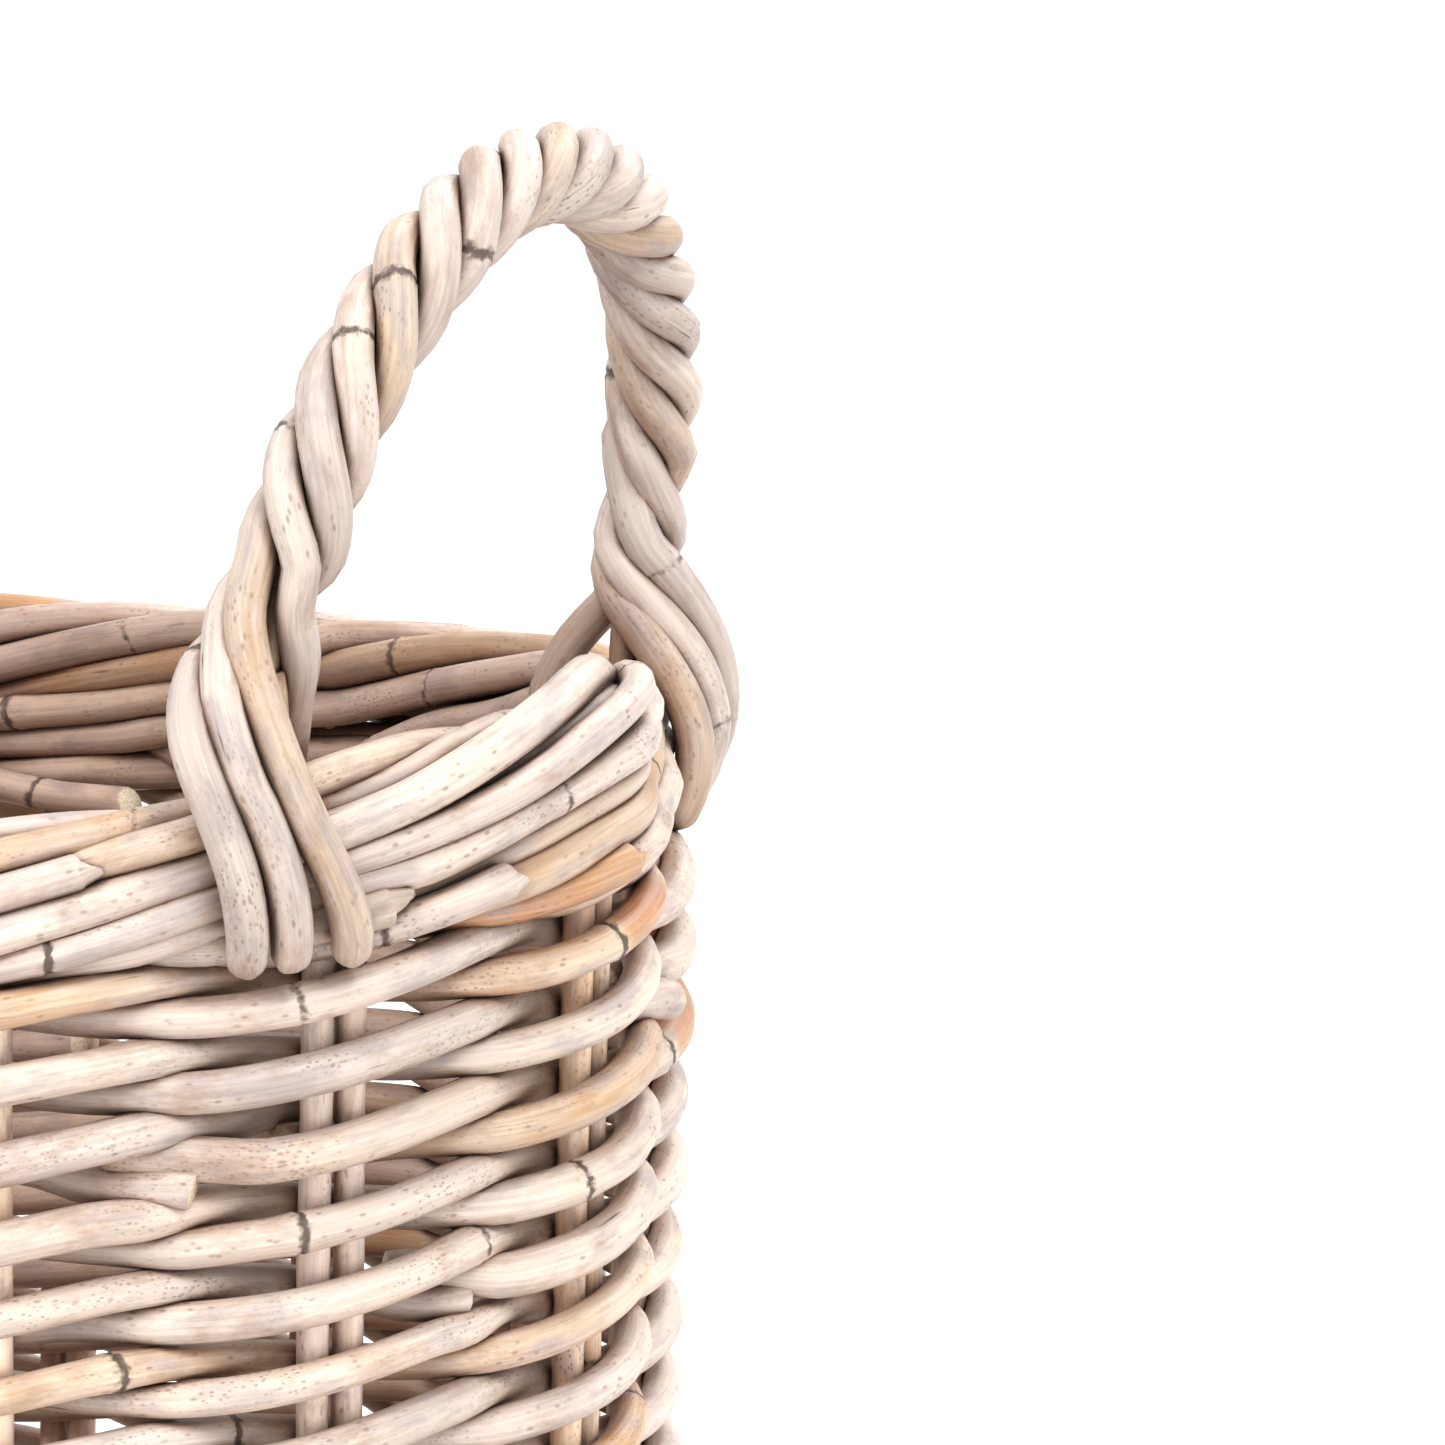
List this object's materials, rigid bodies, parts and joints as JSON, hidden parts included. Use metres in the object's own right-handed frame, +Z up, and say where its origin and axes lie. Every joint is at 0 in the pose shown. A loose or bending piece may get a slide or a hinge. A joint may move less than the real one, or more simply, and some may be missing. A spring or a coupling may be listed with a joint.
{
  "type": "oval wicker laundry basket",
  "caption": "Open oval laundry basket hand woven in greywashed round rattan, with a rolled border and a twisted rope handle at each end.",
  "frame": {"origin": "on the ground under the middle of the oval", "axes": "+Z up, +X along the oval from handle to handle, +Y across it"},
  "size_m": [0.6062, 0.4244, 0.4517],
  "materials": {
    "stake_rattan": "greywashed round cane, matt with a faint sheen",
    "weaver_rattan": "greywashed round cane with dark nodes and pits, soft semi-gloss",
    "border_rattan": "greywashed to golden round cane with pale cut ends, soft semi-gloss",
    "handle_rattan": "pale greywashed round cane, soft semi-gloss",
    "base_rattan": "brown to grey round cane, matt"
  },
  "bodies": {
    "root": {"base_mat": "base_rattan", "border_strand_01": "border_rattan", "border_strand_02": "border_rattan", "border_strand_03": "border_rattan", "border_strand_04": "border_rattan", "border_strand_05": "border_rattan", "border_strand_06": "border_rattan", "foot_border": "base_rattan", "handle_core_left": "handle_rattan", "handle_core_right": "handle_rattan", "handle_ply_left_01": "handle_rattan", "handle_ply_left_02": "handle_rattan", "handle_ply_left_03": "handle_rattan", "handle_ply_left_04": "handle_rattan", "handle_ply_right_01": "handle_rattan", "handle_ply_right_02": "handle_rattan", "handle_ply_right_03": "handle_rattan", "handle_ply_right_04": "handle_rattan", "packing_row_left": "weaver_rattan", "packing_row_right": "weaver_rattan", "stake_pair_01": "stake_rattan", "stake_pair_02": "stake_rattan", "stake_pair_03": "stake_rattan", "stake_pair_04": "stake_rattan", "stake_pair_05": "stake_rattan", "stake_pair_06": "stake_rattan", "stake_pair_07": "stake_rattan", "stake_pair_08": "stake_rattan", "stake_pair_09": "stake_rattan", "stake_pair_10": "stake_rattan", "stake_pair_11": "stake_rattan", "stake_pair_12": "stake_rattan", "stake_pair_13": "stake_rattan", "stake_pair_14": "stake_rattan", "stake_pair_15": "stake_rattan", "stake_pair_16": "stake_rattan", "stake_pair_17": "stake_rattan", "stake_pair_18": "stake_rattan", "weave_row_01": "weaver_rattan", "weave_row_02": "weaver_rattan", "weave_row_03": "weaver_rattan", "weave_row_04": "weaver_rattan", "weave_row_05": "weaver_rattan", "weave_row_06": "weaver_rattan", "weave_row_07": "weaver_rattan", "weave_row_08": "weaver_rattan", "weave_row_09": "weaver_rattan", "weave_row_10": "weaver_rattan", "weave_row_11": "weaver_rattan", "weave_row_12": "weaver_rattan", "weave_row_13": "weaver_rattan"}
  },
  "joints": []
}
